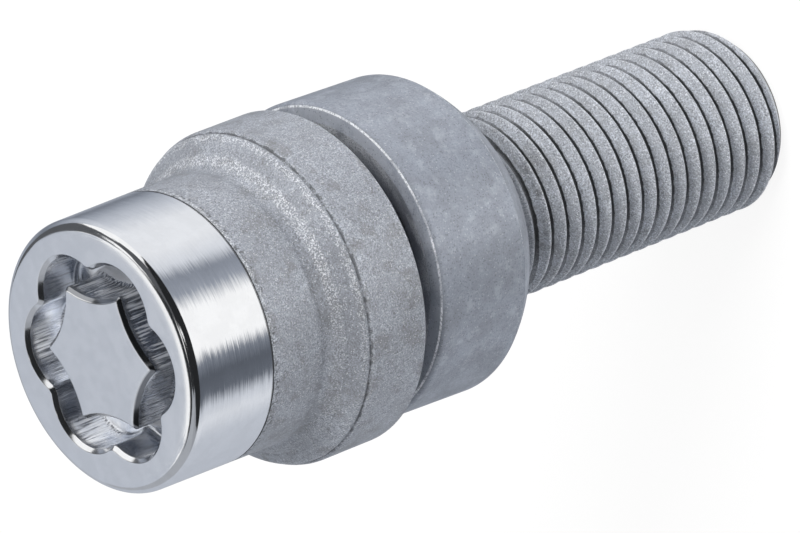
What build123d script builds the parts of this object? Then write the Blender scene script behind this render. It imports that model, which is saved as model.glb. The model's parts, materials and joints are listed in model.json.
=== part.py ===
import os
from math import acos, atan2, cos, degrees, radians, sin, tan

from build123d import *

# A locking wheel bolt with a loose seat ring, in millimetres. It stands on its
# threaded end with Z up the bolt, and the origin is the centre of that end. The
# X axis runs through one point of the star in the key recess.

# Bolt, from the keyed face down
bolt_length = 61.0
head_diameter = 19.84        # at the edge of the face
head_draft = 0.5             # degrees that the head widens towards the flange
head_edge_radius = 0.65
head_side = 12.44            # from the face down to the corner of the shoulder
shoulder_angle = 51.0        # degrees between the shoulder and the bolt's axis
shoulder_fillet = 0.7
flange_thickness = 5.31
flange_overhang = 0.54       # how far the flange stands out past the ring
flange_edge_radius = 1.4     # of its edge towards the head
flange_edge_chamfer = 0.2    # along its edge towards the ring
thread_diameter = 13.86      # over the crests of an M14 x 1.5 thread
neck_relief = 0.68           # how far the plain neck lies below the crests
ramp_angle = 45.0            # degrees of the run-out that starts the thread
tip_chamfer = 1.3            # its length along the bolt
tip_drop = 1.03              # how far the chamfer comes in from the crests

# Key recess: a wavy groove round a six-pointed star that is flush with the face
key_lobes = 6
key_wall = 2.37              # from the bottom of a lobe to the side of the head
key_lobe_radius = 3.3
key_bump_radius = 0.9        # of the bumps between the lobes
groove_width = 1.78          # from the bottom of a lobe to the star's sharp point
star_hollow = 1.46           # how far a hollow side lies inside the points
star_point_radius = 0.35
key_depth = 3.5
key_chamfer = 0.28           # at the mouth of the groove
key_floor_chamfer = 0.4      # along both walls, at the bottom of the groove

# Seat ring: a short cylinder that ends in a ball seat towards the wheel
seat_ball_radius = 14.0
seat_start_angle = 33.1      # degrees from the ball's equator to the seat's edge
ring_side = 7.99             # from the lip down to the start of the ball seat
ring_rear_wall = 0.84        # between the bore and the end of the ball seat
ring_lip_chamfer = 0.45
ring_lip_width = 0.93        # of the flat end inside that chamfer
ring_bore_chamfer = 0.25
bearing_angle = 30.0         # degrees of the cone on which flange and ring meet
ring_gap = 2.0               # open space under the flange
ring_stop_gap = 1.5          # from the ring down to the first full crest
ring_play = 0.55             # all round, between the neck and the bore
lean_share = 0.375           # part of the play that the ring's lean takes up
shift_share = 0.377          # part of the play that its sideways shift takes up
lean_direction = -60.9       # degrees round the bolt, from +X
shift_direction = 6.7        # degrees round the bolt, from +X

# Radii that follow from the sizes above
head_radius = head_diameter / 2
head_root_radius = head_radius + head_side * tan(radians(head_draft))
thread_radius = thread_diameter / 2
neck_radius = thread_radius - neck_relief
bore_radius = neck_radius + ring_play
rear_radius = bore_radius + ring_rear_wall
ring_radius = seat_ball_radius * cos(radians(seat_start_angle))
lip_radius = ring_radius - ring_lip_chamfer
bearing_radius = lip_radius - ring_lip_width
flange_radius = ring_radius + flange_overhang
key_reach = head_radius - key_wall
star_reach = key_reach - groove_width

# Lengths and heights that follow; heights are above the threaded end
bearing_slope = tan(radians(bearing_angle))
seat_end_angle = acos(rear_radius / seat_ball_radius)
ball_rise = seat_ball_radius * sin(radians(seat_start_angle))
seat_length = seat_ball_radius * sin(seat_end_angle) - ball_rise
ring_length = ring_side + seat_length
shoulder_height = (flange_radius - head_root_radius) / tan(radians(shoulder_angle))
flange_top_z = bolt_length - head_side - shoulder_height
flange_bottom_z = flange_top_z - flange_thickness
neck_top_z = flange_bottom_z - (bearing_radius - neck_radius) * bearing_slope
ring_rear_z = flange_bottom_z - ring_gap - ring_length
thread_top_z = ring_rear_z - ring_stop_gap
ramp_height = neck_relief / tan(radians(ramp_angle))


# The bolt is one forging: half of its outline, turned about Z
with BuildPart() as wheel_bolt:
    with BuildSketch(Plane.XZ):
        with BuildLine():
            FilletPolyline(
                (0, 0),
                (thread_radius - tip_drop, 0),
                (thread_radius, tip_chamfer),
                (thread_radius, thread_top_z),
                (neck_radius, thread_top_z + ramp_height),
                (neck_radius, neck_top_z),
                (bearing_radius, flange_bottom_z),
                (flange_radius - flange_edge_chamfer, flange_bottom_z),
                (flange_radius, flange_bottom_z + flange_edge_chamfer),
                (flange_radius, flange_top_z),
                (head_root_radius, bolt_length - head_side),
                (head_radius, bolt_length),
                (0, bolt_length),
                radius=[
                    0,
                    0,
                    0,
                    0,
                    0,
                    0,
                    0,
                    0,
                    flange_edge_radius,
                    shoulder_fillet,
                    head_edge_radius,
                ],
            )
            Line((0, bolt_length), (0, 0))
        make_face()
    revolve(axis=Axis.Z)

    # The groove is a lobed outline less the star that stands inside it
    step = 360 / key_lobes
    with BuildSketch(Plane.XY.offset(bolt_length)) as key_groove:
        with PolarLocations(key_reach - key_lobe_radius, key_lobes):
            Circle(key_lobe_radius)
        Circle(key_reach - key_lobe_radius)
        fillet(key_groove.vertices(), key_bump_radius)
        with BuildSketch(mode=Mode.PRIVATE) as star:
            with BuildLine():
                for point in range(key_lobes):
                    ThreePointArc(
                        Vector(star_reach, 0).rotate(Axis.Z, point * step),
                        Vector(star_reach - star_hollow, 0).rotate(Axis.Z, (point + 0.5) * step),
                        Vector(star_reach, 0).rotate(Axis.Z, (point + 1) * step),
                    )
            make_face()
            fillet(star.vertices(), star_point_radius)
        add(star.sketch, mode=Mode.SUBTRACT)
    extrude(amount=-key_depth, mode=Mode.SUBTRACT)

    # The mouth runs round the hole in the rim and round the top of the star
    flats = wheel_bolt.faces().filter_by(Plane.XY).group_by(Axis.Z)
    mouth = ShapeList()
    for flat in flats[-1]:
        mouth += flat.inner_wires().edges() if flat.inner_wires() else flat.edges()
    chamfer(flats[-2].edges(), key_floor_chamfer)
    chamfer(mouth, key_chamfer)

wheel_bolt.part.label = "wheel_bolt"


# The ring hangs loose on the neck: it leans and sits off centre within its play.
# Its own frame has its origin halfway along the bore, with Z up the bore.
bore_length = ring_length - (bearing_radius - bore_radius) * bearing_slope
ring_lean = degrees(atan2(2 * lean_share * ring_play, bore_length))
ring_centre = Vector(shift_share * ring_play, 0, ring_rear_z + bore_length / 2)
ring_up = Vector(0, 0, 1).rotate(Axis.Y, ring_lean)
ring_frame = Plane(
    origin=ring_centre.rotate(Axis.Z, shift_direction),
    z_dir=ring_up.rotate(Axis.Z, lean_direction),
)
ring_section = Plane(ring_frame.origin, x_dir=ring_frame.x_dir, z_dir=-ring_frame.y_dir)

rear_height = -bore_length / 2
lip_height = rear_height + ring_length
seat_start = (ring_radius, lip_height - ring_side)
seat_end = (rear_radius, rear_height)

with BuildPart() as seat_ring:
    with BuildSketch(ring_section):
        with BuildLine():
            Polyline(
                seat_end,
                (bore_radius + ring_bore_chamfer, rear_height),
                (bore_radius, rear_height + ring_bore_chamfer),
                (bore_radius, bore_length / 2),
                (bearing_radius, lip_height),
                (lip_radius, lip_height),
                (ring_radius, lip_height - ring_lip_chamfer),
                seat_start,
            )
            RadiusArc(seat_start, seat_end, seat_ball_radius)
        make_face()
    revolve(axis=Axis(ring_frame.origin, ring_frame.z_dir))

seat_ring.part.label = "seat_ring"


os.makedirs("parts", exist_ok=True)
for piece in (wheel_bolt.part, seat_ring.part):
    export_step(piece, f"parts/{piece.label}.step")
    print(piece.label, "volume", round(piece.volume, 1), "mm3")
print("ring axis", ring_frame.z_dir, "through", ring_frame.origin)
print("thread from 0 to", round(thread_top_z, 3), "with radius", thread_radius)
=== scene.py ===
# %% [markdown]
# # A locking wheel bolt with a loose seat ring
# The real thing is a forged steel bolt that holds a car wheel. Its round head carries a wavy
# key groove round a six-pointed star, and only its own key turns it. Under the wide flange a
# loose ring with a ball seat hangs on the neck, and a rolled thread fills the rest. The head is
# chromed, and everything else has a grey zinc flake finish.
#
# The first cell loads the model as a fixed frame. Every piece is placed in it, and its
# box is kept.

# %% Load the frame
import json
import math

import bmesh
import bpy
import numpy as np
from mathutils import Matrix, Vector


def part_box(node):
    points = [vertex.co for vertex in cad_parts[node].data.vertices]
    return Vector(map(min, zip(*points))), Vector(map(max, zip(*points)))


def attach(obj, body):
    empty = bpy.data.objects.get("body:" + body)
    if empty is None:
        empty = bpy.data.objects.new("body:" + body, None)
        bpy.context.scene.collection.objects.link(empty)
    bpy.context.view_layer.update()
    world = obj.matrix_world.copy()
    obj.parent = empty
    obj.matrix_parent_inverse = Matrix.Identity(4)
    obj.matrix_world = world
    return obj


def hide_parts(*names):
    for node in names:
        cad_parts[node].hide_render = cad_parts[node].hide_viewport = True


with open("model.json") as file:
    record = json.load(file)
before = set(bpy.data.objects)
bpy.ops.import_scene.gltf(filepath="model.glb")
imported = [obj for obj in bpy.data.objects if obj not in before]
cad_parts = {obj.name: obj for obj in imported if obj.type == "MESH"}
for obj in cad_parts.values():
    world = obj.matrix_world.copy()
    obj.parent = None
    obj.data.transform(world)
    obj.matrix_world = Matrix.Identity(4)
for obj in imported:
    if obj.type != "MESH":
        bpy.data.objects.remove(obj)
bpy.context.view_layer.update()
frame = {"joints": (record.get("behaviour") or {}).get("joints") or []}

MM = 0.001
bolt_low, bolt_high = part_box("wheel_bolt")
bolt_length = bolt_high.z / MM
print("bolt", round(bolt_length, 2), "mm long, flange", round((bolt_high.x - bolt_low.x) / MM, 2))

# %% [markdown]
# ## Camera
# The camera comes first, because every later choice is judged through it. The bolt stands
# upright in the frame and the picture shows it lying, so the camera is rolled and not the bolt.
# A long lens from far away keeps the far end of the thread almost as large as the head.

# %% Camera
camera_place = Vector((-78.473, -553.291, 483.115)) * MM
camera_look = Vector((0.107065, 0.771573, -0.627066)).normalized()
camera_up = Vector((0.889712, -0.355862, -0.285962)).normalized()
lens_mm = 457.0
sensor_mm = 36.0


def new_object(name, data):
    """An object that holds the data, linked into the scene."""
    made = bpy.data.objects.new(name, data)
    bpy.context.scene.collection.objects.link(made)
    return made


camera_right = camera_look.cross(camera_up).normalized()
camera_turn = Matrix((camera_right, camera_right.cross(camera_look), -camera_look)).transposed()

camera_data = bpy.data.cameras.new("camera")
camera_data.lens = lens_mm
camera_data.sensor_width = sensor_mm
camera_data.clip_start = 0.05
camera_data.clip_end = 20
camera = new_object("camera", camera_data)
camera.matrix_world = Matrix.Translation(camera_place) @ camera_turn.to_4x4()
bpy.context.scene.camera = camera
camera_azimuth = math.degrees(math.atan2(camera_place.y, camera_place.x))
print("camera", round(camera_place.length, 3), "m away at azimuth", round(camera_azimuth, 1))

# %% [markdown]
# ## A small set of node helpers
# Materials are trees of nodes. Writing one takes three moves: make a node, set its plain
# values, and join sockets. These helpers do that, so the material cells read like a recipe.

# %% Helpers that make and join nodes
def add_node(tree, kind, **settings):
    """A new node of that kind; settings are its own properties, such as operation or blend_type."""
    made = tree.nodes.new(kind)
    for name, value in settings.items():
        setattr(made, name, value)
    return made


def join(tree, source, target):
    """Joins two sockets, or puts a plain value on the target."""
    if isinstance(source, bpy.types.NodeSocket):
        tree.links.new(source, target)
    else:
        target.default_value = source


def calculate(tree, operation, *values):
    """The output of one Math node on those values."""
    made = add_node(tree, "ShaderNodeMath", operation=operation)
    for socket, value in zip(made.inputs, values):
        join(tree, value, socket)
    return made.outputs[0]


def multiply(tree, product, *others):
    """The product of any number of values."""
    for other in others:
        product = calculate(tree, "MULTIPLY", product, other)
    return product


# %% Helpers for colours and materials
def grey(level, blue=0.0):
    """A grey as a colour, made cooler by a positive blue and warmer by a negative one."""
    return (level * (1 - 0.5 * blue), level, level * (1 + blue), 1.0)


def empty_material(name):
    """A new material without nodes, and its tree."""
    material = bpy.data.materials.new(name)
    material.use_nodes = True
    material.node_tree.nodes.clear()
    return material, material.node_tree


def glowing(tree, colour):
    """A shader that gives off a colour, at the strength at which 1 is white."""
    made = add_node(tree, "ShaderNodeEmission")
    join(tree, colour, made.inputs["Color"])
    return made


def show(material, shader):
    """Ends a material: the shader is what its surface shows."""
    tree = material.node_tree
    join(tree, shader.outputs[0], add_node(tree, "ShaderNodeOutputMaterial").inputs[0])
    print(material.name, "is made of", len(tree.nodes), "nodes")


# %% [markdown]
# ## Studio: floor, toned fan, screens and light
# Metal shows its surroundings more than itself, so the studio is built before the metal. The
# floor is plain white paper, and it keeps the bolt's shadow. The chromed side of an upright
# head looks down on that floor, and would be one flat white. A fan of toned paper round the
# bolt gives it the pale, dark and white bands that a studio's screens would. Only reflections
# see the fan and the screens, so the background stays clean.

# %% Floor
floor_half = 3.0
floor_glow = 0.90            # how much of the white comes from the paper itself


def mesh_object(name, points, faces):
    """A mesh object of those points and faces."""
    mesh = bpy.data.meshes.new(name)
    mesh.from_pydata(points, [], faces)
    return new_object(name, mesh)


def seen_plainly(tree):
    """1 for rays from the camera, off gloss or through glass, and 0 for light on the bolt."""
    rays = add_node(tree, "ShaderNodeLightPath").outputs
    seen = calculate(tree, "MAXIMUM", rays["Is Camera Ray"], rays["Is Glossy Ray"])
    return calculate(tree, "MAXIMUM", seen, rays["Is Transmission Ray"])


floor_paper, tree = empty_material("floor_paper")
matt = add_node(tree, "ShaderNodeBsdfDiffuse")
matt.inputs["Color"].default_value = grey(0.96)
shared = add_node(tree, "ShaderNodeMixShader")
join(tree, multiply(tree, seen_plainly(tree), floor_glow), shared.inputs[0])
join(tree, matt.outputs[0], shared.inputs[1])
join(tree, glowing(tree, grey(1.0)).outputs[0], shared.inputs[2])
show(floor_paper, shared)

corners = [(-floor_half, -floor_half, 0), (floor_half, -floor_half, 0),
           (floor_half, floor_half, 0), (-floor_half, floor_half, 0)]
floor = mesh_object("floor", corners, [(0, 1, 2, 3)])
floor.data.materials.append(floor_paper)


# %% Only reflections see these
def reflection_only(thing):
    """Hides a stage piece from the camera and from soft light, so that only gloss shows it."""
    for ray in ("camera", "diffuse", "shadow", "transmission", "volume_scatter"):
        setattr(thing, "visible_" + ray, False)


# %% Toned fan on the floor, with a low wall round it
fan_inner, fan_outer, fan_height, fan_wall = 9 * MM, 200 * MM, 0.4 * MM, 105 * MM
fan_steps = 180


def grid_faces(rows, columns, closed):
    """Faces between rows of points, where a closed row comes round to its first point."""
    patches = []
    for row in range(rows - 1):
        for column in range(columns if closed else columns - 1):
            here = row * columns + column
            beside = row * columns + (column + 1) % columns
            patches.append((here, here + columns, beside + columns, beside))
    return patches


turns = np.linspace(0, 2 * np.pi, fan_steps, endpoint=False)
rims = [np.stack([across * np.cos(turns), across * np.sin(turns), np.full(fan_steps, up)], 1)
        for across, up in ((fan_inner, fan_height), (fan_outer, fan_height), (fan_outer, fan_wall))]
fan = mesh_object("toned_fan", np.concatenate(rims).tolist(), grid_faces(3, fan_steps, True))
reflection_only(fan)
print("toned fan", 2 * fan_outer, "m across")

# %% Tones of the fan
# Turns from the camera's side, in degrees, with the paper's tone there
fan_tones = [
    (-150, 0.50), (-95, 0.56), (-78, 0.74), (-67, 0.62), (-57, 0.14), (-42, 0.11),
    (-30, 0.22), (-22, 1.0), (10, 1.0), (22, 0.34), (36, 0.26), (46, 0.72),
    (62, 0.86), (88, 0.84), (110, 0.58), (130, 0.36), (146, 0.20), (160, 0.38),
]
fan_blue = 0.24                     # how much cooler the dark tones are
fan_seam = grey(0.42, 0.09)         # the tone behind the bolt, at half a turn


def own_place(tree):
    """The coordinates of a point in its own object, in metres."""
    return add_node(tree, "ShaderNodeTexCoord").outputs["Object"]


fan_paper, tree = empty_material("fan_paper")
turned = add_node(tree, "ShaderNodeVectorRotate", rotation_type="Z_AXIS")
turned.inputs["Angle"].default_value = math.radians(-camera_azimuth)
join(tree, own_place(tree), turned.inputs["Vector"])
parts = add_node(tree, "ShaderNodeSeparateXYZ")
join(tree, turned.outputs[0], parts.inputs[0])
angle = calculate(tree, "ARCTAN2", parts.outputs["Y"], parts.outputs["X"])
tones = add_node(tree, "ShaderNodeValToRGB")
join(tree, calculate(tree, "MULTIPLY_ADD", angle, 0.5 / math.pi, 0.5), tones.inputs[0])
for stop in tones.color_ramp.elements:
    stop.color = fan_seam
for turn, tone in fan_tones:
    stop = tones.color_ramp.elements.new(turn / 360 + 0.5)
    stop.color = grey(tone, fan_blue * (1 - tone))
show(fan_paper, glowing(tree, tones.outputs[0]))
fan.data.materials.append(fan_paper)


# %% Curved screens above the floor
screen_across, screen_up = 13, 7    # points of a screen, across and upwards


def screen(name, turns, elevations, distance, tone, blue=0.08):
    """A curved screen round the head, from turn to turn and elevation to elevation, in degrees."""
    across = np.radians(camera_azimuth + np.linspace(*turns, screen_across))
    upward = np.radians(np.linspace(*elevations, screen_up))
    turned, raised = np.meshgrid(across, upward)
    spots = distance * np.stack([
        np.cos(turned) * np.cos(raised), np.sin(turned) * np.cos(raised), np.sin(raised)
    ], 2).reshape(-1, 3) + [0, 0, bolt_high.z]
    made = mesh_object(name, spots.tolist(), grid_faces(screen_up, screen_across, False))
    material, tree = empty_material(name)
    show(material, glowing(tree, grey(tone, blue)))
    made.data.materials.append(material)
    reflection_only(made)


screen("dark_front", (-82, 60), (12, 90), 0.22, 0.02)
screen("dark_roof", (60, 150), (46, 90), 0.22, 0.10)
screen("dark_side", (118, 168), (12, 48.7), 0.22, 0.10)
screen("dark_back", (150, 213), (48.7, 90), 0.22, 0.03)
screen("dark_top", (213, 278), (66, 90), 0.22, 0.03)
screen("grey_near", (262, 278), (12, 66), 0.24, 0.34)
screen("grey_far", (195, 262), (12, 66), 0.25, 0.40)
screen("face_screen", (164, 197), (12, 42.3), 0.25, 0.53, 0.12)
screen("white_rim", (168, 193), (42, 48.7), 0.21, 1.0, 0.0)
screen("white_side", (137, 168), (49, 60), 0.19, 1.0, 0.0)
screen("front_strip", (-26, -2), (68, 89), 0.18, 1.0, 0.0)
screen("back_strip", (182, 215), (74, 89), 0.18, 0.9, 0.0)

# %% World and lamps
room_light = 0.30                   # the white room's own light on the bolt
world = bpy.data.worlds.new("white_room")
bpy.context.scene.world = world
world.use_nodes = True
tree = world.node_tree
tree.nodes.clear()
air = add_node(tree, "ShaderNodeBackground")
air.inputs["Color"].default_value = grey(1.0)
strength = calculate(tree, "MULTIPLY_ADD", seen_plainly(tree), 1 - room_light, room_light)
join(tree, strength, air.inputs["Strength"])
join(tree, air.outputs[0], add_node(tree, "ShaderNodeOutputWorld").inputs[0])


def lamp(name, place, size, power, colour):
    """A square area lamp aimed at the middle of the bolt, which reflections don't see."""
    light = bpy.data.lights.new(name, "AREA")
    light.shape = "SQUARE"
    light.size = size
    light.energy = power
    light.color = colour
    made = new_object(name, light)
    made.location = place
    aim = Vector((0, 0, bolt_high.z / 2)) - Vector(place)
    made.rotation_mode = "QUATERNION"
    made.rotation_quaternion = aim.to_track_quat("-Z", "Y")
    made.visible_glossy = False
    print(name, round(aim.length, 2), "m from the bolt")


lamp("key_lamp", (0.40, -0.53, 0.80), 0.45, 10.5, (1.0, 0.985, 0.965))
lamp("top_lamp", (0.05, -0.1, 1.1), 0.6, 6.0, (1.0, 1.0, 1.0))
lamp("fill_lamp", (-0.6, -0.5, 0.5), 0.7, 0.6, (0.90, 0.95, 1.0))

bpy.context.scene.view_settings.view_transform = "Standard"

# %% [markdown]
# ## Outlines with rounded corners
# Most of the bolt is turned: half of its outline, spun round the axis. Corners that catch the
# light are never sharp on real steel. A bevel modifier could round them all alike, but each
# corner here has its own wear, so one helper takes corner points with a rounding each and puts
# arcs there. It draws the head, the flange, the seat ring and the walls of the key groove.

# %% Rounded outline
arc_step = math.radians(8)


def rounded_outline(corners):
    """Points of an outline; each corner is (across, up, rounding), and the ends stay sharp."""
    points = []
    for index, (across, up, rounding) in enumerate(corners):
        here = Vector((across, up))
        if rounding == 0 or index in (0, len(corners) - 1):
            points.append(here)
            continue
        before = (Vector(corners[index - 1][:2]) - here).normalized()
        after = (Vector(corners[index + 1][:2]) - here).normalized()
        half = before.angle(after) / 2
        start = here + before * rounding / math.tan(half)
        centre = here + (before + after).normalized() * rounding / math.sin(half)
        sweep = math.pi - 2 * half
        sweep = -sweep if before.cross(after) > 0 else sweep
        steps = max(2, math.ceil(abs(sweep) / arc_step))
        for step in range(steps + 1):
            turn = Matrix.Rotation(sweep * step / steps, 2)
            points.append(centre + turn @ (start - centre))
    return points


# %% [markdown]
# ## The key groove and its star
# Seen along the axis, both walls of the groove are made of twelve arcs: six that bulge out
# and six between them that bulge in. A boolean could cut them, but it leaves ragged faces
# beside soft edges. Here one formula gives a wall's distance from the axis at each angle.
# Growing or shrinking the wall by a little gives the chamfer at its mouth and the rounding at
# its foot, because both follow the wall.

# %% Sizes of the groove, in millimetres
head_radius = 19.84 / 2
lobe_count = 6
lobe_reach = head_radius - 2.37     # from the axis to the bottom of a lobe
lobe_arc = 3.3                      # radius of a lobe
bump_arc = 0.9                      # radius of the bumps between the lobes
star_reach = lobe_reach - 1.78      # from the axis to a star point before its rounding
star_waist = star_reach - 1.46
star_tip = 0.35                     # rounding of a star point
groove_depth = 3.5
mouth_chamfer = 0.28
foot_rounding = 0.55
edge_softness = 0.07                # how much each machined edge is worn round

# %% Centres of the arcs
half_step = math.pi / lobe_count
lobe_centre = lobe_reach - lobe_arc
bump_centre = lobe_centre * math.cos(half_step) + math.sqrt(
    (lobe_arc + bump_arc) ** 2 - (lobe_centre * math.sin(half_step)) ** 2
)
hollow_centre = (star_reach**2 - star_waist**2) / (
    2 * (star_reach * math.cos(half_step) - star_waist)
)
hollow_arc = hollow_centre - star_waist
tip_centre = hollow_centre * math.cos(half_step) - math.sqrt(
    (hollow_arc + star_tip) ** 2 - (hollow_centre * math.sin(half_step)) ** 2
)


def wavy_radius(angles, out_centre, out_arc, in_centre, in_arc, grow):
    """Distance from the axis of a wall of alternating arcs, moved outwards by grow."""
    folded = np.abs((angles + half_step) % (2 * half_step) - half_step)
    bulge = Vector((out_centre, 0))
    hollow = Vector((in_centre * math.cos(half_step), in_centre * math.sin(half_step)))
    touch = bulge + (hollow - bulge).normalized() * (out_arc + grow)
    swap = math.atan2(touch.y, touch.x)
    outward = out_centre * np.cos(folded) + np.sqrt(
        (out_arc + grow) ** 2 - (out_centre * np.sin(np.minimum(folded, swap))) ** 2
    )
    rest = np.minimum(half_step - folded, half_step - swap)
    inward = in_centre * np.cos(half_step - folded) - np.sqrt(
        (in_arc - grow) ** 2 - (in_centre * np.sin(rest)) ** 2
    )
    return np.where(folded <= swap, outward, inward)


def star_wall(angles, grow):
    """Distance from the axis of the star's side, moved outwards by grow."""
    return wavy_radius(angles, tip_centre, star_tip, hollow_centre, hollow_arc, grow)


def lobe_wall(angles, grow):
    """Distance from the axis of the groove's outer wall, moved outwards by grow."""
    return wavy_radius(angles, lobe_centre, lobe_arc, bump_centre, bump_arc, grow)


check_angles = np.radians([0, 15, 30])
print("star", star_wall(check_angles, 0).round(2), "lobes", lobe_wall(check_angles, 0).round(2))

# %% [markdown]
# ## One skin for the whole bolt
# The bolt is one forging, so it is one closed mesh. It grows as rows of points, from the
# middle of the star outwards, down into the groove and up again, over the face, down the head
# and out over the flange. Each row has the same number of points, so two rows join with
# plain four-sided faces. Chrome and zinc flake are two materials on this one skin.

# %% Rows and how they join
head_turns = 288                    # points in one row of the head
chrome, flake = 0, 1                # material slots of the bolt

head_angles = np.linspace(0, 2 * np.pi, head_turns, endpoint=False)
points, faces, finishes = [], [], []


def add_row(radii, heights, angles):
    """One closed row of points round the axis; gives the index of its first point."""
    first = sum(len(block) for block in points)
    radii = np.broadcast_to(radii, angles.shape)
    heights = np.broadcast_to(heights, angles.shape)
    points.append(np.stack([radii * np.cos(angles), radii * np.sin(angles), heights], 1))
    return first


def join_rows(upper, lower, count, finish):
    """Four-sided faces between two rows, facing outwards."""
    for j in range(count):
        k = (j + 1) % count
        faces.append((upper + j, lower + j, lower + k, upper + k))
        finishes.append(finish)


def close_row(row, count, height, finish, upward):
    """A fan of triangles that closes a row with one point on the axis."""
    middle = sum(len(block) for block in points)
    points.append(np.array([[0.0, 0.0, height]]))
    for j in range(count):
        k = (j + 1) % count
        faces.append((middle, row + j, row + k) if upward else (middle, row + k, row + j))
        finishes.append(finish)


# %% Star, groove and face
groove_floor = bolt_length - groove_depth
mouth_width = mouth_chamfer + 4 * edge_softness
foot_width = foot_rounding + 2 * edge_softness


def wall_section(side):
    """How a wall grows and falls, from the face to the floor: side is -1 for the star."""
    return rounded_outline([
        (side * mouth_width, 0, 0),
        (side * mouth_chamfer, 0, edge_softness),
        (0, -mouth_chamfer, edge_softness),
        (0, -groove_depth, foot_rounding),
        (-side * foot_width, -groove_depth, 0),
    ])


rows = []
star_top = star_wall(head_angles, -mouth_width)
for share in (0.2, 0.5, 0.8):
    rows.append(add_row(star_top * share, bolt_length, head_angles))
for grow, drop in wall_section(-1):
    rows.append(add_row(star_wall(head_angles, grow), bolt_length + drop, head_angles))
star_foot = star_wall(head_angles, foot_width)
lobe_foot = lobe_wall(head_angles, -foot_width)
for share in (0.33, 0.67):
    rows.append(add_row(star_foot + (lobe_foot - star_foot) * share, groove_floor, head_angles))
for grow, drop in reversed(wall_section(1)):
    rows.append(add_row(lobe_wall(head_angles, grow), bolt_length + drop, head_angles))
print("star and groove", len(rows), "rows")

# %% [markdown]
# ## Head, flange and neck
# The outside is the turned outline of the model's bolt. Three things are added that are too
# fine for the model's solid: the hairline where the chrome stops, the soft ridges that forging
# left on the shoulder, and the wear of each edge. A bump could fake the ridges, but they show
# in the outline too, so they are shaped.

# %% Sizes of the head and flange, in millimetres
head_side = 12.44
head_draft = math.radians(0.5)
face_flat = 0.75                    # flat rim round the groove
face_fall = 8.9                     # where the face starts to fall away, from the axis
face_drop = 0.09                    # how far it has fallen at the side
head_edge = 0.72                    # rounding between the face and the side
shoulder_slope = math.tan(math.radians(51))
flange_thickness = 5.31
flange_edge = 1.4                   # rounding of its edge towards the head
flange_bevel = 0.2                  # along its edge towards the ring
chrome_drop = 7.1                   # from the face down to the end of the chrome
hairline_width = 0.09
hairline_depth = 0.05
hairline_edge = 0.02
seat_ball = 14.0
seat_start = math.radians(33.1)
lip_chamfer = 0.45                  # round the outside of the ring's lip
lip_width = 0.93                    # of the flat lip inside that chamfer
bearing_slope = math.tan(math.radians(30))
thread_crest = 13.86 / 2
neck_relief = 0.68                  # how far the neck lies below the thread's crests
thread_top = 25.86                  # height at which the thread runs out into the neck

# %% Places that follow from them
head_root = head_radius + head_side * math.tan(head_draft)
shoulder_start = bolt_length - head_side
flange_radius = bolt_high.x / MM
flange_top = shoulder_start - (flange_radius - head_root) / shoulder_slope
flange_bottom = flange_top - flange_thickness
ring_radius = seat_ball * math.cos(seat_start)
bearing_radius = ring_radius - lip_chamfer - lip_width
neck_radius = thread_crest - neck_relief
neck_top = flange_bottom - (bearing_radius - neck_radius) * bearing_slope
chrome_end = bolt_length - chrome_drop
chrome_radius = head_radius + (head_root - head_radius) * chrome_drop / head_side
print("flange", round(flange_bottom, 2), "to", round(flange_top, 2), "mm above the end")

# %% Outline from the face down to the neck
head_outline = rounded_outline([
    (lobe_reach + face_flat, bolt_length, 0),
    (face_fall, bolt_length, 6.0),
    (head_radius, bolt_length - face_drop, head_edge),
    (chrome_radius, chrome_end + hairline_width, hairline_edge),
    (chrome_radius - hairline_depth, chrome_end, hairline_edge),
    (chrome_radius, chrome_end - hairline_width, hairline_edge),
    (head_root, shoulder_start, 0.7),
    (flange_radius, flange_top, flange_edge),
    (flange_radius, flange_bottom + flange_bevel, 0.05),
    (flange_radius - flange_bevel, flange_bottom, 0.05),
    (bearing_radius, flange_bottom, 0.1),
    (neck_radius, neck_top, 0.6),
    (neck_radius, thread_top + 1.0, 0),
])


# %% Ridges on the shoulder
crease_drop = 14.38                 # from the face down to the crease above the flange
# Rings of relief: distance below the face, half width and height
shoulder_relief = [(11.95, 0.65, -0.09), (12.75, 0.35, 0.05), (13.25, 0.15, -0.07),
                   (13.90, 0.30, 0.07), (crease_drop, 0.22, -0.17)]


def finer(outline, low, high, step):
    """The outline with more points between two heights, no further apart than the step."""
    dense = [outline[0]]
    for before, here in zip(outline, outline[1:]):
        cuts = math.ceil((here - before).length / step)
        between = [before.lerp(here, cut / cuts) for cut in range(1, cuts)]
        dense += [point for point in between if low < point.y < high] + [here]
    return dense


head_outline = finer(head_outline, flange_top - 0.3, shoulder_start + 1.2, 0.1)
for point in head_outline:
    for drop, half_width, rise in shoulder_relief:
        near = max(0, 1 - abs(bolt_length - drop - point.y) / half_width)
        point.x += rise * near * near * (3 - 2 * near)

# %% Spin the outline and join every row so far
rim_start = lobe_wall(head_angles, mouth_width)
face_edge = head_outline[1].x
for share in (0.35, 0.7):
    rows.append(add_row(rim_start + (face_edge - rim_start) * share, bolt_length, head_angles))
for across, up in head_outline[1:]:
    rows.append(add_row(across, up, head_angles))

close_row(rows[0], head_turns, bolt_length, chrome, True)
for upper, lower in zip(rows, rows[1:]):
    height = np.concatenate(points)[lower][2]
    join_rows(upper, lower, head_turns, chrome if height > chrome_end - 0.01 else flake)
print("head", len(rows), "rows,", len(faces), "faces")

# %% [markdown]
# ## The rolled thread
# A thread is one groove that winds down the shank, so rows of points that are level would
# cut across it and break its edges. A screw modifier could wind a section, but it leaves the
# run-out and the chamfered end to be mended. Here each row winds down with the thread, one
# pitch for each turn, and joins the row one pitch further on where it comes round. At both
# ends the rows are held at the end's height, and points that meet there are merged.

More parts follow.
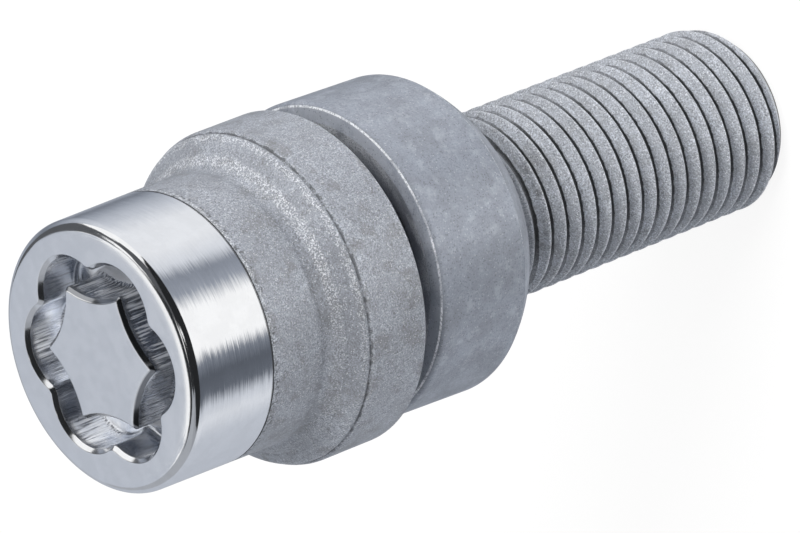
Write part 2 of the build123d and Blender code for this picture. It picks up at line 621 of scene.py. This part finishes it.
# %% Thread form, in millimetres
pitch = 1.5
thread_depth = 0.6134 * pitch
crest_flat = pitch / 8
flank_slope = math.sqrt(3)          # a flank stands 30 degrees off square to the axis
crest_softness = 0.09
root_softness = 0.04
crest_height = 21.79                # height of one crest where the angle is zero
top_height = thread_top + neck_relief
run_out = 1.5                       # length over which the thread comes up to full depth
end_chamfer = 1.3
end_drop = 1.03
end_inset = 0.4                     # of the last row on the flat end


def soft_above(value, softness):
    """The value where it is above zero and zero below, with a soft change between."""
    return (value + np.sqrt(value**2 + softness**2)) / 2


def thread_radius_at(angles, heights):
    """The shank's radius at an angle and a height, with the run-out and the end's chamfer."""
    turn = (heights - crest_height) / pitch - angles / (2 * np.pi)
    aside = np.abs((turn + 0.5) % 1 - 0.5) * pitch
    fall = soft_above((aside - crest_flat / 2) * flank_slope, crest_softness)
    fall = thread_depth - soft_above(thread_depth - fall, root_softness)
    full = thread_crest - fall
    share = np.clip((top_height - heights) / run_out, 0, 1)
    share = share * share * (3 - 2 * share)
    cut = neck_radius + (full - neck_radius) * share
    end = thread_crest - end_drop * np.clip(1 - heights / end_chamfer, 0, 1)
    return np.minimum(cut, end)


# %% Winding rows
thread_turns = 144                  # points in one row of the thread
# Shares of a pitch from a crest, closer together at the corners of crest and root
row_offsets = np.array([0, 0.04, 0.065, 0.1, 0.25, 0.38, 0.42, 0.46,
                        0.5, 0.54, 0.58, 0.62, 0.75, 0.9, 0.935, 0.96])
rows_a_pitch = len(row_offsets)
thread_angles = np.linspace(0, 2 * np.pi, thread_turns, endpoint=False)
start = crest_height + pitch * math.ceil((top_height - crest_height) / pitch)
pitches = math.ceil((start + pitch) / pitch) + 1
winding = []
for turn in range(pitches):
    for offset in row_offsets:
        level = start - pitch * (turn + offset) + pitch * thread_angles / (2 * np.pi)
        level = np.clip(level, 0, top_height)
        winding.append(add_row(thread_radius_at(thread_angles, level), level, thread_angles))
for number in range(len(winding) - 1):
    upper, lower = winding[number], winding[number + 1]
    for j in range(thread_turns - 1):
        faces.append((upper + j, lower + j, lower + j + 1, upper + j + 1))
    wound_upper = winding[max(number - rows_a_pitch, 0)]
    wound_lower = winding[max(number + 1 - rows_a_pitch, 0)]
    last = thread_turns - 1
    faces.append((upper + last, lower + last, wound_lower, wound_upper))
    finishes.extend([flake] * thread_turns)
print("thread", len(winding), "rows over", pitches, "pitches")

# %% Join the thread to the neck and close its end
neck_row, thread_row = rows[-1], winding[0]
for j in range(thread_turns):
    k = (j + 1) % thread_turns
    left, middle, right = neck_row + 2 * j, neck_row + 2 * j + 1, neck_row + 2 * k
    faces.append((left, thread_row + j, middle))
    faces.append((middle, thread_row + j, thread_row + k))
    faces.append((middle, thread_row + k, right))
    finishes.extend([flake] * 3)
end_row = add_row(thread_crest - end_drop - end_inset, 0, thread_angles)
join_rows(winding[-1], end_row, thread_turns, flake)
close_row(end_row, thread_turns, 0.0, flake, False)

# %% Make the bolt's mesh
merge_distance = 0.0005 * MM
sharp_angle = math.radians(34)      # edges that turn by more than this stay crisp


def finished_mesh(name, blocks, face_list, face_finishes):
    """A mesh object in metres with merged doubles, soft shading and a finish for each face."""
    made = mesh_object(name, (np.concatenate(blocks) * MM).tolist(), face_list)
    mesh = made.data
    mesh.polygons.foreach_set("material_index", face_finishes)
    work = bmesh.new()
    work.from_mesh(mesh)
    bmesh.ops.remove_doubles(work, verts=work.verts, dist=merge_distance)
    bmesh.ops.dissolve_degenerate(work, edges=work.edges, dist=merge_distance)
    work.to_mesh(mesh)
    open_edges = sum(1 for edge in work.edges if not edge.is_manifold)
    volume = work.calc_volume(signed=True) / MM**3
    work.free()
    mesh.shade_smooth()
    mesh.set_sharp_from_angle(angle=sharp_angle)
    print(name, len(mesh.polygons), "faces, open edges", open_edges, "volume", round(volume))
    return made


bolt = finished_mesh("bolt", points, faces, finishes)
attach(bolt, "bolt")
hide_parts("wheel_bolt")

# %% [markdown]
# ## The loose seat ring
# The ring is a turned piece too, but it hangs loose: it leans on the neck and sits a little
# off centre. The model's joint says where its axis runs, so its rows are made round
# that axis. Its ball seat is an arc of a ball of 14 mm radius, worked out point by point.

# %% Sizes of the seat ring, in millimetres
ring_turns = 320                    # points in one row of the ring
ring_play = 0.55
ring_rear_wall = 0.84
ring_side = 7.99                    # from the lip down to the start of the ball seat
ring_bevel = 0.25                   # of the bore at its rear end
seat_steps = 14

bore_radius = neck_radius + ring_play
rear_radius = bore_radius + ring_rear_wall
seat_end = math.acos(rear_radius / seat_ball)
ring_length = ring_side + seat_ball * (math.sin(seat_end) - math.sin(seat_start))
bore_length = ring_length - (bearing_radius - bore_radius) * bearing_slope
rear = -bore_length / 2
lip = rear + ring_length
ball_middle = lip - ring_side + seat_ball * math.sin(seat_start)
print("ring", round(ring_length, 2), "mm long and", round(2 * ring_radius, 2), "mm across")

# %% Seat ring
seat_arc = []
for step in range(1, seat_steps):
    slope = seat_start + (seat_end - seat_start) * step / seat_steps
    seat_arc.append((seat_ball * math.cos(slope), ball_middle - seat_ball * math.sin(slope), 0))
ring_outline = rounded_outline([
    (bore_radius, 0, 0),
    (bore_radius, bore_length / 2, 0.3),
    (bearing_radius, lip, 0.12),
    (ring_radius, lip, 0.5),
    (ring_radius, lip - ring_side, 0.2),
    *seat_arc,
    (rear_radius, rear, 0.08),
    (bore_radius + ring_bevel, rear, 0.05),
    (bore_radius, rear + ring_bevel, 0.05),
    (bore_radius, 0, 0),
])[:-1]

ring_joint = frame["joints"][0]
ring_axis = Vector(ring_joint["axis"]).normalized()
ring_centre = Vector(ring_joint["pos_m"]) / MM
lean = ring_axis.rotation_difference(Vector((0, 0, 1))).inverted().to_matrix()
ring_angles = np.linspace(0, 2 * np.pi, ring_turns, endpoint=False)
points, faces, finishes = [], [], []
ring_rows = [add_row(across, up, ring_angles) for across, up in ring_outline]
for upper, lower in zip(ring_rows, ring_rows[1:] + ring_rows[:1]):
    join_rows(upper, lower, ring_turns, 0)
points = [np.concatenate(points) @ np.array(lean).T + np.array(ring_centre)]
ring = finished_mesh("seat_ring_finished", points, faces, finishes)
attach(ring, "ring")
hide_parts("seat_ring")

# %% [markdown]
# ## Shared effects
# Five effects turn up again and again, so each is a node group with its own sliders: the place
# of a point on the bolt, fine lines left by turning, cloudy mottling, a broken band round the
# bolt, and the sandy grain of a zinc coat. They stay sharp at any distance, as no picture
# would, and they read the object's own coordinates, so nothing slides when the ring moves.

# %% Helpers for groups and masks
def start_group(name, inputs, outputs):
    """A shader node group with value inputs and named outputs; gives its tree and both ends."""
    tree = bpy.data.node_groups.new(name, "ShaderNodeTree")
    for label, value in inputs.items():
        socket = tree.interface.new_socket(label, in_out="INPUT", socket_type="NodeSocketFloat")
        socket.default_value = value
    for label in outputs:
        tree.interface.new_socket(label, in_out="OUTPUT", socket_type="NodeSocketFloat")
    print("group", name, "gives", ", ".join(outputs))
    sliders = add_node(tree, "NodeGroupInput").outputs
    results = add_node(tree, "NodeGroupOutput").inputs
    return tree, sliders, results


def place_group(tree, group, *values):
    """The outputs of that group in a material, with its own values in the inputs' order."""
    made = add_node(tree, "ShaderNodeGroup", node_tree=group)
    for socket, value in zip(made.inputs, values):
        socket.default_value = value
    return made.outputs


def spread(tree, value, from_low, from_high, to_low=0.0, to_high=1.0):
    """A value carried smoothly from one range to another, and held at both ends."""
    made = add_node(tree, "ShaderNodeMapRange", interpolation_type="SMOOTHSTEP")
    for socket, given in zip(made.inputs, (value, from_low, from_high, to_low, to_high)):
        join(tree, given, socket)
    return made.outputs["Result"]


def vector_sum(tree, operation, first, second=None):
    """One Vector Math node on two vectors, or on a vector and the number that scales it."""
    made = add_node(tree, "ShaderNodeVectorMath", operation=operation)
    join(tree, first, made.inputs[0])
    if second is not None:
        join(tree, second, made.inputs["Scale" if operation == "SCALE" else 1])
    return made.outputs["Value" if operation == "DOT_PRODUCT" else "Vector"]


def noise(tree, where, scale, detail, roughness=0.5):
    """A cloudy value about 0.5 that changes from place to place."""
    made = add_node(tree, "ShaderNodeTexNoise")
    join(tree, where, made.inputs["Vector"])
    join(tree, scale, made.inputs["Scale"])
    join(tree, detail, made.inputs["Detail"])
    join(tree, roughness, made.inputs["Roughness"])
    return made.outputs["Fac"]


# %% Place on the bolt: distance from the axis, height, and the direction round it
place_on_bolt, sliders, results = start_group(
    "place_on_bolt", {}, ["Radius", "Height", "Round X", "Round Y"]
)
tree = place_on_bolt
parts = add_node(tree, "ShaderNodeSeparateXYZ")
join(tree, vector_sum(tree, "SCALE", own_place(tree), 1 / MM), parts.inputs[0])
parts = parts.outputs
square = multiply(tree, parts["X"], parts["X"])
square = calculate(tree, "MULTIPLY_ADD", parts["Y"], parts["Y"], square)
radius = calculate(tree, "SQRT", square)
join(tree, radius, results["Radius"])
join(tree, parts["Z"], results["Height"])
for axis in "XY":
    join(tree, calculate(tree, "DIVIDE", parts[axis], radius), results["Round " + axis])

# %% Turned lines: fine along the outline, long round the axis
turned_lines, sliders, results = start_group(
    "turned_lines", {"Lines a Millimetre": 9.0, "Break Up": 3.0, "Detail": 3.0}, ["Tone"]
)
tree = turned_lines
here = place_group(tree, place_on_bolt)
along = calculate(tree, "SUBTRACT", here["Radius"], here["Height"])
where = add_node(tree, "ShaderNodeCombineXYZ")
for axis in "XY":
    join(tree, multiply(tree, here["Round " + axis], sliders["Break Up"]), where.inputs[axis])
join(tree, multiply(tree, along, sliders["Lines a Millimetre"]), where.inputs["Z"])
join(tree, noise(tree, where.outputs[0], 1.0, sliders["Detail"], 0.7), results["Tone"])

# %% Clouds
clouds, sliders, results = start_group(
    "clouds", {"Size in Millimetres": 3.0, "Detail": 4.0, "Low": 0.35, "High": 0.65}, ["Mask"]
)
tree = clouds
scale = calculate(tree, "DIVIDE", 1 / MM, sliders["Size in Millimetres"])
cloud = noise(tree, own_place(tree), scale, sliders["Detail"], 0.62)
join(tree, spread(tree, cloud, sliders["Low"], sliders["High"]), results["Mask"])

# %% A broken band: a ring round the bolt at one height, with ragged edges
broken_band, sliders, results = start_group(
    "broken_band", {"Middle": 0.0, "Half Width": 0.1, "Raggedness": 0.1}, ["Mask"]
)
tree = broken_band
here = place_group(tree, place_on_bolt)
away = calculate(tree, "ABSOLUTE", calculate(tree, "SUBTRACT", here["Height"], sliders["Middle"]))
ragged = calculate(tree, "SUBTRACT", noise(tree, own_place(tree), 2.2 / MM, 5.0), 0.5)
ragged = multiply(tree, ragged, multiply(tree, sliders["Raggedness"], 4.0))
away = calculate(tree, "ADD", away, ragged)
inner = multiply(tree, sliders["Half Width"], 0.5)
join(tree, spread(tree, away, inner, sliders["Half Width"], 1.0, 0.0), results["Mask"])

# %% Sandy grain: a fine field of bumps with a few bright and a few dark grains
sandy_grain, sliders, results = start_group(
    "sandy_grain",
    {"Size in Millimetres": 0.2, "Bright Share": 0.1, "Dark Share": 0.05},
    ["Height", "Bright", "Dark"],
)
tree = sandy_grain
scale = calculate(tree, "DIVIDE", 1 / MM, sliders["Size in Millimetres"])
join(tree, noise(tree, own_place(tree), scale, 2.0, 0.65), results["Height"])
cells = add_node(tree, "ShaderNodeTexVoronoi", feature="F1")
join(tree, own_place(tree), cells.inputs["Vector"])
join(tree, scale, cells.inputs["Scale"])
lot = add_node(tree, "ShaderNodeSeparateColor")
join(tree, cells.outputs["Color"], lot.inputs[0])
core = spread(tree, cells.outputs["Distance"], 0.25, 0.6, 1.0, 0.0)
for label, channel in (("Bright", 0), ("Dark", 1)):
    edge = calculate(tree, "SUBTRACT", 1.0, sliders[label + " Share"])
    drawn = calculate(tree, "GREATER_THAN", lot.outputs[channel], edge)
    join(tree, multiply(tree, drawn, core), results[label])


# %% [markdown]
# ## Chrome
# The head's chrome is bright on the side, where it was turned and polished. Each fine line of
# that turning tilts the metal a little sideways, so the edges of the bands that it reflects
# look combed. Anisotropic gloss could blur them too, but it shows no single lines. The face is
# satin. The key groove was pressed and not polished, and its walls carry streaks that run down
# into it. Near-black in some streaks is a painted dark reflection, and the groove below the
# star's top is painted darker, as painted shade.

# %% Helpers that lay one colour over another
def blend_colour(tree, share, first, second, way="MIX"):
    """Two colours mixed or multiplied by a share between 0 and 1."""
    made = add_node(tree, "ShaderNodeMix", data_type="RGBA", blend_type=way)
    join(tree, share, made.inputs["Factor"])
    join(tree, first, made.inputs[6])
    join(tree, second, made.inputs[7])
    return made.outputs[2]


def lay_over(tree, tone, colour, *masks):
    """The tone with a colour laid over it, as strongly as all the masks multiplied say."""
    return blend_colour(tree, multiply(tree, *masks), tone, colour)


# %% Chrome: its regions
chrome_finish, tree = empty_material("chrome")
metal = add_node(tree, "ShaderNodeBsdfPrincipled")
here = place_group(tree, place_on_bolt)
radius, height = here["Radius"], here["Height"]
on_top = spread(tree, radius, 9.15, 8.75)
inside = spread(tree, radius, lobe_reach + 0.5, lobe_reach + 0.2)
sunk = spread(tree, height, bolt_length - 0.9, bolt_length - 0.3, 1.0, 0.0)
pressed = multiply(tree, inside, sunk)
on_star = spread(tree, radius, 5.75, 5.95, 1.0, 0.0)
on_floor = spread(tree, height, groove_floor + 0.05, groove_floor + 0.25, 1.0, 0.0)

# %% Chrome: streaks in the groove, long downwards and narrow sideways
streak_place = add_node(tree, "ShaderNodeMapping")
join(tree, own_place(tree), streak_place.inputs["Vector"])
streak_place.inputs["Scale"].default_value = (7.0 / MM, 7.0 / MM, 0.45 / MM)
streaks = noise(tree, streak_place.outputs[0], 1.0, 3.0)
calm = calculate(tree, "SUBTRACT", 0.58, streaks)
streak = calculate(tree, "MULTIPLY_ADD", on_floor, calm, streaks)

# %% Chrome: colour
mottle = place_group(tree, clouds, 1.6, 4.0, 0.38, 0.62)["Mask"]
bright = blend_colour(tree, mottle, grey(0.89, 0.015), grey(0.93, 0.015))
dull = blend_colour(tree, mottle, grey(0.80, 0.10), grey(0.97, 0.05))
# Near-black streaks on the groove's walls, strongest on the star: painted dark reflections
dull = lay_over(tree, dull, grey(0.05, 0.10), spread(tree, streak, 0.38, 0.46, 0.9, 0.0),
                spread(tree, on_star, 0.0, 1.0, 0.35, 1.0))
tone = blend_colour(tree, pressed, bright, dull)
# Painted shade: below the star's top, its sides and the groove's floor near it are darker
tone = lay_over(tree, tone, grey(0.22, 0.10), on_star,
                spread(tree, height, bolt_length - 0.08, bolt_length - 0.02, 0.8, 0.0))
join(tree, tone, metal.inputs["Base Color"])

# %% Chrome: pale matt patches on the pressed walls, and the gloss
round_bolt = calculate(tree, "ARCTAN2", here["Round Y"], here["Round X"])
waves = calculate(tree, "COSINE", multiply(tree, round_bolt, float(lobe_count)))
in_lobe = multiply(tree, spread(tree, waves, 0.0, 1.0),
                   spread(tree, streak, 0.36, 0.62, 0.12, 0.80))
on_ribs = multiply(tree, on_star, spread(tree, streak, 0.50, 0.56, 0.0, 0.8))
matt_share = multiply(tree, calculate(tree, "MAXIMUM", in_lobe, on_ribs), pressed)
join(tree, calculate(tree, "SUBTRACT", 1.0, matt_share), metal.inputs["Metallic"])

satin = spread(tree, on_top, 0.0, 1.0, 0.08, 0.13)
rougher = spread(tree, on_star, 0.0, 1.0, 0.08, -0.07)
satin = calculate(tree, "MULTIPLY_ADD", pressed, rougher, satin)
join(tree, calculate(tree, "MULTIPLY_ADD", mottle, 0.03, satin), metal.inputs["Roughness"])

# %% Chrome: the combed tilt of the side
comb = place_group(tree, turned_lines, 14.0, 3.5, 4.0)["Tone"]
side = multiply(tree, calculate(tree, "SUBTRACT", 1.0, on_top),
                calculate(tree, "SUBTRACT", 1.0, inside))
tilt = multiply(tree, calculate(tree, "SUBTRACT", comb, 0.5), 0.22, side)
sideways = add_node(tree, "ShaderNodeCombineXYZ")
join(tree, multiply(tree, here["Round Y"], -1.0), sideways.inputs["X"])
join(tree, here["Round X"], sideways.inputs["Y"])
tilted = vector_sum(tree, "SCALE", sideways.outputs[0], tilt)
normal = add_node(tree, "ShaderNodeNewGeometry").outputs["Normal"]
combed = vector_sum(tree, "NORMALIZE", vector_sum(tree, "ADD", normal, tilted))


# %% Chrome: relief of the streaks
def relief(tree, strength, depth, height):
    """A bump of that depth in millimetres, from a value that changes over the surface."""
    made = add_node(tree, "ShaderNodeBump")
    made.inputs["Strength"].default_value = strength
    made.inputs["Distance"].default_value = depth * MM
    join(tree, height, made.inputs["Height"])
    return made


raised = multiply(tree, pressed, spread(tree, on_star, 0.0, 1.0, 0.2, 1.0),
                  spread(tree, height, groove_floor + 0.1, groove_floor + 0.6))
bump = relief(tree, 1.0, 0.10, multiply(tree, streaks, raised))
join(tree, combed, bump.inputs["Normal"])
join(tree, bump.outputs[0], metal.inputs["Normal"])
show(chrome_finish, metal)

# %% [markdown]
# ## Zinc flake
# The grey coat is thousands of tiny zinc plates in a binder, baked on like paint. Up close it
# is sandy, from further away it is cloudy, and handling leaves brownish stains. A single noise
# would look like one or the other, so clouds of several sizes lie over the grain. A thread's
# roots are painted dark, as painted shade, so that a dark line is all that shows there.

# %% Zinc flake: grain, clouds and stains
flake_finish, tree = empty_material("zinc_flake")
metal = add_node(tree, "ShaderNodeBsdfPrincipled")
metal.inputs["Metallic"].default_value = 0.35
here = place_group(tree, place_on_bolt)
radius, height = here["Radius"], here["Height"]
grain = place_group(tree, sandy_grain, 0.115, 0.12, 0.12)
mid_clouds = place_group(tree, clouds, 0.33, 3.0, 0.36, 0.64)["Mask"]
fine_clouds = place_group(tree, clouds, 0.7, 5.0, 0.32, 0.68)["Mask"]
wide_clouds = place_group(tree, clouds, 3.0, 8.0, 0.34, 0.66)["Mask"]
stains = place_group(tree, clouds, 1.7, 10.0, 0.50, 0.64)["Mask"]
on_thread = spread(tree, height, thread_top - 0.9, thread_top - 0.2, 1.0, 0.0)

tone = blend_colour(tree, spread(tree, grain["Height"], 0.3, 0.7), grey(0.16, 0.12),
                    grey(0.56, 0.12))
tone = lay_over(tree, tone, grey(0.18, 0.08), mid_clouds, 0.25)
tone = lay_over(tree, tone, grey(0.42, 0.12), fine_clouds, 0.40)
tone = lay_over(tree, tone, grey(0.23, 0.10), wide_clouds, 0.40)
tone = lay_over(tree, tone, grey(0.14, -0.04), stains,
                spread(tree, on_thread, 0.0, 1.0, 0.36, 0.16))

# %% Zinc flake: bands of painted shade on the shoulder
# Directions across the bolt, as X and Y: the side seen in full, and those below and above it
full_side, lower_side, upper_side = (-0.14, -0.99), (-0.47, -0.88), (0.79, -0.62)
fold_drop = 12.1                    # from the face down to the fold at the foot of its side
shaded_drop = 13.3                  # and down to the painted shade on the lower side of the shoulder


def band(tree, drop, half_width, raggedness):
    """A broken band round the bolt, its middle that far below the face."""
    return place_group(tree, broken_band, bolt_length - drop, half_width, raggedness)["Mask"]


def facing_share(tree, here, direction):
    """How squarely the outside faces a direction across the bolt, from -1 to 1."""
    share = multiply(tree, here["Round X"], direction[0])
    return calculate(tree, "MULTIPLY_ADD", here["Round Y"], direction[1], share)


toward = facing_share(tree, here, full_side)
# Painted shade in the fold at the foot of the head's side, on the side towards the camera
tone = lay_over(tree, tone, grey(0.10, 0.14), band(tree, fold_drop, 0.55, 0.12),
                spread(tree, toward, 0.75, 1.0, 0.0, 0.32))
# Painted shade on the lower side of the shoulder, where less light falls
low = facing_share(tree, here, lower_side)
tone = lay_over(tree, tone, grey(0.10, 0.14), band(tree, shaded_drop, 1.1, 0.12),
                spread(tree, low, 0.75, 1.0, 0.0, 0.35))

# %% Zinc flake: painted light on the thread, and its handled end beside the neck
# Painted light: the thread is made paler, most near the roots, to lift the shade on its flank faces
flank_light = multiply(tree, on_thread, spread(tree, radius, 6.25, 6.85, 1.0, 0.55))
tone = blend_colour(tree, flank_light, tone, grey(1.6, -0.02), "MULTIPLY")
handled = multiply(tree, stains, spread(tree, height, 21.5, 25.0, 0.02, 0.5))
tone = lay_over(tree, tone, grey(0.10, -0.04), on_thread, handled)

# %% Zinc flake: worn crests and ridges with painted highlights, and the grains that glint or stay dark
edge_drop = bolt_length - flange_bottom - 0.1
# Ridges and edges that stand proud, worn and with painted highlights: distance below the face and
# half width
worn_and_lit_rings = [(12.85, 0.35), (13.95, 0.22), (chrome_drop + 0.25, 0.20), (edge_drop, 0.14)]

rubbed_and_lit = multiply(tree, on_thread, spread(tree, radius, 6.55, 6.85, 0.0, 0.45))
# Painted highlights are stronger on the upper side, towards the key lamp
lit_side_share = spread(tree, facing_share(tree, here, upper_side), -0.2, 0.7, 0.2, 1.0)
for drop, half_width in worn_and_lit_rings:
    lit_ridge = multiply(tree, band(tree, drop, half_width, 0.2), lit_side_share)
    rubbed_and_lit = calculate(tree, "MAXIMUM", rubbed_and_lit, lit_ridge)
worn_and_lit_specks = multiply(tree, rubbed_and_lit, spread(tree, grain["Height"], 0.50, 0.64, 0.03, 0.65))
glints = multiply(tree, grain["Bright"], spread(tree, on_thread, 0.0, 1.0, 0.4, 0.75))
tone = lay_over(tree, tone, grey(0.88, 0.04), calculate(tree, "MAXIMUM", worn_and_lit_specks, glints))
tone = lay_over(tree, tone, grey(0.12, 0.04), grain["Dark"], 0.4)

# %% Zinc flake: painted shade in the thread's roots, which reaches higher and fades as they turn away from the camera's side
wander = calculate(tree, "MULTIPLY_ADD", fine_clouds, 0.06, radius)
turned_away = calculate(tree, "POWER", calculate(tree, "SUBTRACT", 1.0, toward), 1.3)
higher = calculate(tree, "MINIMUM", multiply(tree, turned_away, 0.70), 0.40)
wander = calculate(tree, "SUBTRACT", wander, higher)
# Painted shade: the roots are dark, wider and fainter where the bolt turns from the camera
root_shade = multiply(tree, on_thread, spread(tree, wander, 6.16, 6.23, 1.0, 0.0),
                spread(tree, toward, 0.4, 0.9, 0.50, 1.0))

# %% Zinc flake: the hairline where the chrome ends, its chips, and painted shade in the crease
hairline = band(tree, chrome_drop, 0.12, 0.03)
# Painted shade in the crease above the flange, broken into a ragged line
crease_shade = multiply(tree, band(tree, crease_drop, 0.12, 0.09),
                   spread(tree, fine_clouds, 0.1, 0.6, 0.12, 0.65))
chipped = multiply(tree, band(tree, chrome_drop + 0.35, 0.35, 0.2),
                   spread(tree, mid_clouds, 0.75, 0.95, 0.0, 0.6))
# Near-black over the painted shade of roots and crease, the hairline and the chips
shade_joints_and_chips = calculate(tree, "MAXIMUM", root_shade, hairline)
shade_joints_and_chips = calculate(tree, "MAXIMUM", shade_joints_and_chips, calculate(tree, "MAXIMUM", crease_shade, chipped))
tone = lay_over(tree, tone, grey(0.015, 0.02), shade_joints_and_chips, 0.93)
join(tree, tone, metal.inputs["Base Color"])

# %% Zinc flake: gloss and relief
join(tree, spread(tree, grain["Height"], 0.3, 0.7, 0.38, 0.58), metal.inputs["Roughness"])
coarser = calculate(tree, "MULTIPLY_ADD", on_thread, 1.5, 1.0)
bump = relief(tree, 0.7, 0.035, multiply(tree, grain["Height"], coarser))
join(tree, bump.outputs[0], metal.inputs["Normal"])
show(flake_finish, metal)

# %% [markdown]
# ## The ring's satin coat
# The ring has the same kind of coat over a ground surface. It is smoother and a little
# bluer, with cloudy pale patches and few grains. The edges of its lip carry a painted
# highlight with some wear, and its rear edge is worn pale. A bevel shader could find them,
# but it casts more rays. The ring is turned, so how far its surface faces along its own axis
# says just as well which edge a point lies on.

# %% Ring coat: clouds and grain
ring_finish, tree = empty_material("ring_coat")
metal = add_node(tree, "ShaderNodeBsdfPrincipled")
metal.inputs["Metallic"].default_value = 0.4
grain = place_group(tree, sandy_grain, 0.13, 0.06, 0.16)
wide_clouds = place_group(tree, clouds, 2.4, 6.0, 0.3, 0.7)["Mask"]
pale_patches = place_group(tree, clouds, 1.3, 7.0, 0.5, 0.68)["Mask"]
tone = blend_colour(tree, grain["Height"], grey(0.20, 0.16), grey(0.46, 0.16))
tone = lay_over(tree, tone, grey(0.20, 0.12), wide_clouds, 0.45)
tone = lay_over(tree, tone, grey(0.48, 0.12), pale_patches, 0.45)

# %% Ring coat: the pale lip, and dark and bright grains
normal = add_node(tree, "ShaderNodeNewGeometry").outputs["Normal"]
facing = vector_sum(tree, "DOT_PRODUCT", normal, ring_axis)
tone = lay_over(tree, tone, grey(0.70, 0.10), spread(tree, facing, 0.97, 0.99),
                spread(tree, wide_clouds, 0.2, 0.8, 0.06, 0.32))
tone = lay_over(tree, tone, grey(0.10, 0.14), grain["Dark"], 0.45)
tone = lay_over(tree, tone, grey(0.80, 0.08), grain["Bright"], 0.25)

# %% Ring coat: a painted highlight with wear on the lip's edges, and the worn edge of the rear end
# Painted highlight, with some wear, where the surface leans a little off the lip's plane
tone = lay_over(tree, tone, grey(0.95, 0.04), spread(tree, facing, 0.84, 0.88),
                spread(tree, facing, 0.965, 0.985, 1.0, 0.0),
                spread(tree, grain["Height"], 0.35, 0.55, 0.2, 0.9),
                spread(tree, wide_clouds, 0.2, 0.7, 0.35, 1.0))
tone = lay_over(tree, tone, grey(0.85, 0.06), spread(tree, facing, -0.06, -0.14),
                spread(tree, facing, -0.46, -0.38),
                spread(tree, wide_clouds, 0.3, 0.8, 0.0, 0.6),
                spread(tree, grain["Height"], 0.40, 0.58, 0.1, 1.0))
join(tree, tone, metal.inputs["Base Color"])
join(tree, spread(tree, wide_clouds, 0, 1, 0.36, 0.5), metal.inputs["Roughness"])
join(tree, relief(tree, 0.6, 0.02, grain["Height"]).outputs[0], metal.inputs["Normal"])
show(ring_finish, metal)

# %% Give each piece its finish
bolt.data.materials.append(chrome_finish)
bolt.data.materials.append(flake_finish)
ring.data.materials.append(ring_finish)
